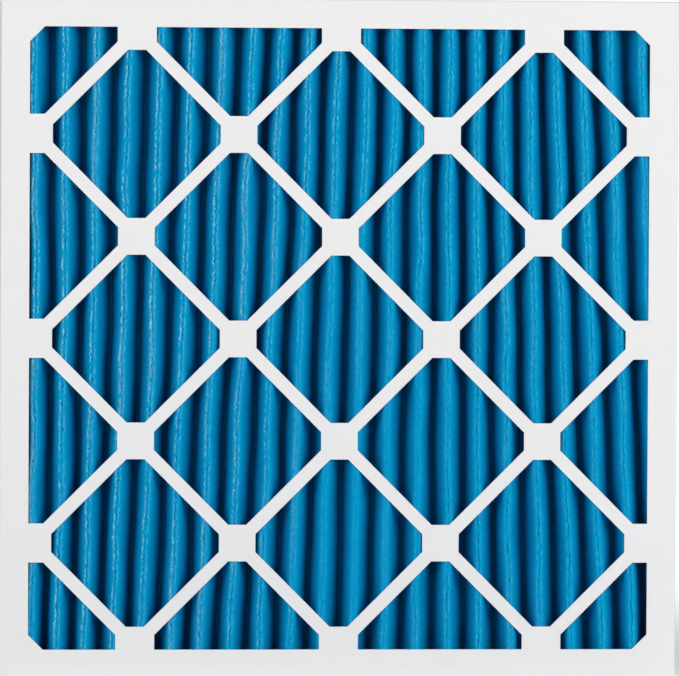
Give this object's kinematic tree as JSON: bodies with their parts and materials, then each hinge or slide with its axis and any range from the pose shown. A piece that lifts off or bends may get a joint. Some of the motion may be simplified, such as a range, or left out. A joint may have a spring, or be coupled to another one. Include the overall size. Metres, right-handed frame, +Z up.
{
  "type": "pleated panel air filter",
  "caption": "Square panel air filter: blue pleated fibre media on a metal support grid, glued inside a white paperboard frame with a die-cut diamond lattice on both faces.",
  "frame": {"origin": "middle of the bottom edge: the bottom centre of the bounding box", "axes": "+Z up, X along the width, the front (air entering) face towards -Y and the rear face with the support grid towards +Y"},
  "size_m": [0.594, 0.0446, 0.594],
  "materials": {
    "board": "smooth white clay-coated paperboard",
    "media": "blue nonwoven polyester fibre",
    "grid": "galvanised expanded metal",
    "adhesive": "dried off-white adhesive"
  },
  "bodies": {
    "root": {"front_frame": "board", "rear_frame": "board", "pleated_media": "media", "support_grid": "grid", "top_glue_bead": "adhesive", "bottom_glue_bead": "adhesive", "left_glue_bead": "adhesive", "right_glue_bead": "adhesive"}
  },
  "joints": []
}
